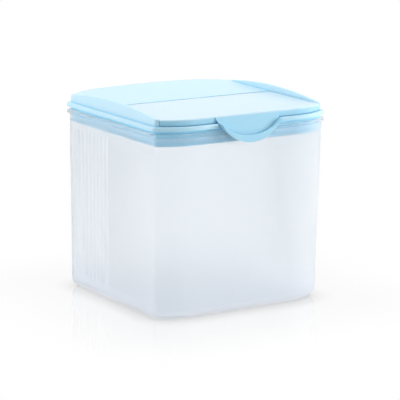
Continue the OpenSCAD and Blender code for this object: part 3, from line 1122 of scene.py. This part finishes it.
def fade_from_box(tree):
    """The mirror's share: strongest beside the box and none a hand's width away from it."""
    place = tree.nodes.new("ShaderNodeTexCoord")
    footprint = (TUB_W / 2 * MM, TUB_D / 2 * MM, 0)
    vector = partial(calc, tree, kind="ShaderNodeVectorMath")
    flat = vector("ABSOLUTE", place.outputs["Object"])
    away = vector("MAXIMUM", vector("SUBTRACT", flat, footprint))
    share = node(tree, "ShaderNodeMapRange", interpolation_type="SMOOTHSTEP", From_Max=MIRROR_FADE,
                 To_Min=MIRROR_SHARE, To_Max=0.0)
    tree.links.new(vector("LENGTH", away, result="Value"), share.inputs["Value"])
    return share.outputs["Result"]


def floor_material():
    material = bpy.data.materials.new("floor_white")
    tree = empty_tree(material)
    out = tree.nodes.new("ShaderNodeOutputMaterial")
    # Painted contact shadow: the floor's white glow is dimmed where the box is near.
    painted_contact_shadow = node(tree, "ShaderNodeAmbientOcclusion", samples=8, Distance=CONTACT_REACH)
    shade = node(tree, "ShaderNodeMapRange", From_Min=CONTACT_FULL, From_Max=CONTACT_NONE,
                 To_Min=CONTACT_SHADE)
    tree.links.new(painted_contact_shadow.outputs["AO"], shade.inputs["Value"])
    through = light_path_any(tree, WHITE_RAYS[1:])
    white = tree.nodes.new("ShaderNodeEmission")
    tree.links.new(calc(tree, "MAXIMUM", shade.outputs["Result"], through), white.inputs["Strength"])
    mirror = node(tree, "ShaderNodeBsdfGlossy", Roughness=MIRROR_ROUGHNESS)
    share = calc(tree, "SUBTRACT", fade_from_box(tree), through, use_clamp=True)
    seen = blend(tree, share, white.outputs[0], mirror.outputs[0])
    matt = node(tree, "ShaderNodeBsdfDiffuse", Color=FLOOR_GREY)
    both = blend(tree, light_path_any(tree, WHITE_RAYS), matt.outputs[0], seen)
    tree.links.new(both, out.inputs["Surface"])
    return material


def build_floor():
    bm = bmesh.new()
    bmesh.ops.create_grid(bm, x_segments=1, y_segments=1, size=FLOOR_SIZE)
    mesh = bpy.data.meshes.new("floor")
    bm.to_mesh(mesh)
    bm.free()
    mesh.materials.append(floor_material())
    floor = bpy.data.objects.new("floor", mesh)
    bpy.context.collection.objects.link(floor)


build_floor()
print("floor", 2 * FLOOR_SIZE, "m wide, mirror gone", MIRROR_FADE, "m from the box")

# %% [markdown]
# White card all round gives the box its soft, even light. Behind the camera the card is dimmer
# and bluer, which gives the near faces their cool tone. An even surround was tried first and left
# the lid's front too bright. The camera itself sees pure white.

# %% The backdrop
CAM_AZIMUTH = -33.462
AMBIENT = 0.7
DIMMED = 0.55
DIM_FROM = 0.3
TINT_BEHIND = (0.95, 0.98, 1.0, 1)
TINT_FACING = (0.36, 0.85, 1.0, 1)


def direction(azimuth, elevation):
    """The way out from the box. Azimuth is counted from its front towards its right."""
    a = math.radians(azimuth)
    e = math.radians(elevation)
    return Vector((math.sin(a) * math.cos(e), -math.cos(a) * math.cos(e), math.sin(e)))


def build_world():
    world = bpy.data.worlds.new("studio")
    bpy.context.scene.world = world
    tree = empty_tree(world)
    out = tree.nodes.new("ShaderNodeOutputWorld")
    place = tree.nodes.new("ShaderNodeTexCoord")
    facing = calc(tree, "DOT_PRODUCT", place.outputs["Generated"], direction(CAM_AZIMUTH, 0),
                  kind="ShaderNodeVectorMath", result="Value")
    level = node(tree, "ShaderNodeMapRange", interpolation_type="SMOOTHSTEP", From_Min=DIM_FROM,
                 From_Max=1.0, To_Min=AMBIENT, To_Max=AMBIENT * DIMMED)
    toward = node(tree, "ShaderNodeMapRange", interpolation_type="SMOOTHSTEP")
    for reader in (level, toward):
        tree.links.new(facing, reader.inputs["Value"])
    soft = tree.nodes.new("ShaderNodeBackground")
    tree.links.new(tint_mix(tree, toward.outputs["Result"], TINT_BEHIND, TINT_FACING), soft.inputs["Color"])
    tree.links.new(level.outputs["Result"], soft.inputs["Strength"])
    white = node(tree, "ShaderNodeBackground", Color=(1, 1, 1, 1), Strength=1.0)
    both = blend(tree, light_path_any(tree, WHITE_RAYS), soft.outputs[0], white.outputs[0])
    tree.links.new(both, out.inputs["Surface"])


build_world()
print("ambient light", AMBIENT, "falling to", round(AMBIENT * DIMMED, 3), "behind the camera")

# %% [markdown]
# Three round softboxes add shape: one over the box, one behind it to the left and one low in
# front of it to the right. Nothing shines from the camera side, so the near left corner stays
# the darkest. The low light would glare on the deck in a view from the opposite side, so it
# gives no highlight.

# %% Lights
CENTRE = Vector((0, 0, 0.09))


def soft_light(name, azimuth, elevation, distance, size, power, shines=True):
    """A round area light that looks at the box."""
    light = bpy.data.lights.new(name, "AREA")
    light.shape = "DISK"
    light.size = size
    light.energy = power
    lamp = bpy.data.objects.new(name, light)
    bpy.context.collection.objects.link(lamp)
    back = direction(azimuth, elevation)
    lamp.location = CENTRE + back * distance
    lamp.rotation_euler = back.to_track_quat("Z", "Y").to_euler()
    lamp.visible_glossy = shines
    print(name, "at", [round(c, 2) for c in lamp.location])


soft_light("top_light", azimuth=150, elevation=75, distance=1.3, size=1.0, power=6.8)
soft_light("back_left_light", azimuth=-120, elevation=20, distance=1.5, size=0.9, power=10.0)
soft_light("front_right_light", azimuth=62, elevation=14, distance=1.5, size=0.8, power=18.0, shines=False)

# %% [markdown]
# The camera is a long lens from the front left, a little above the lid. Aiming it by eye leaves
# the edges a few pixels off. So its place was found by matching measured edges of the box with
# the same edges of the model, and it is written here as a turn, a height, a roll and a distance.

# %% Camera
CAM_LENS = 194.95
CAM_SENSOR = 36.0
CAM_NEAR = 0.1
CAM_FAR = 20.0
CAM_ELEVATION = 12.456
CAM_ROLL = 0.774
CAM_DISTANCE = 1880.535
CAM_SHIFT_X = 5.527
CAM_SHIFT_Z = -8.71
CAM_AIM_Z = 90.0


def build_camera():
    camera = bpy.data.cameras.new("camera")
    camera.lens = CAM_LENS
    camera.sensor_width = CAM_SENSOR
    camera.clip_start = CAM_NEAR
    camera.clip_end = CAM_FAR
    holder = bpy.data.objects.new("camera", camera)
    bpy.context.collection.objects.link(holder)
    roll = math.radians(CAM_ROLL)
    back = direction(CAM_AZIMUTH, CAM_ELEVATION)
    right = direction(CAM_AZIMUTH + 90, 0)
    up = back.cross(right)
    turned_right = right * math.cos(roll) + up * math.sin(roll)
    turned_up = up * math.cos(roll) - right * math.sin(roll)
    place = Vector((0, 0, CAM_AIM_Z)) + back * CAM_DISTANCE + right * CAM_SHIFT_X + up * CAM_SHIFT_Z
    axes = Matrix((turned_right, turned_up, back)).transposed()
    holder.matrix_world = Matrix.Translation(place * MM) @ axes.to_4x4()
    bpy.context.scene.camera = holder
    print("camera at", [round(c / 1000, 3) for c in place], "m")


build_camera()
bpy.context.scene.view_settings.view_transform = "Standard"
bpy.context.scene.view_settings.look = "None"

# %% [markdown]
# Every visible piece is drawn from the sizes of the part that it stands for, so the two boxes should agree.
# The last step updates the scene.

# %% Update the scene
bpy.context.view_layer.update()
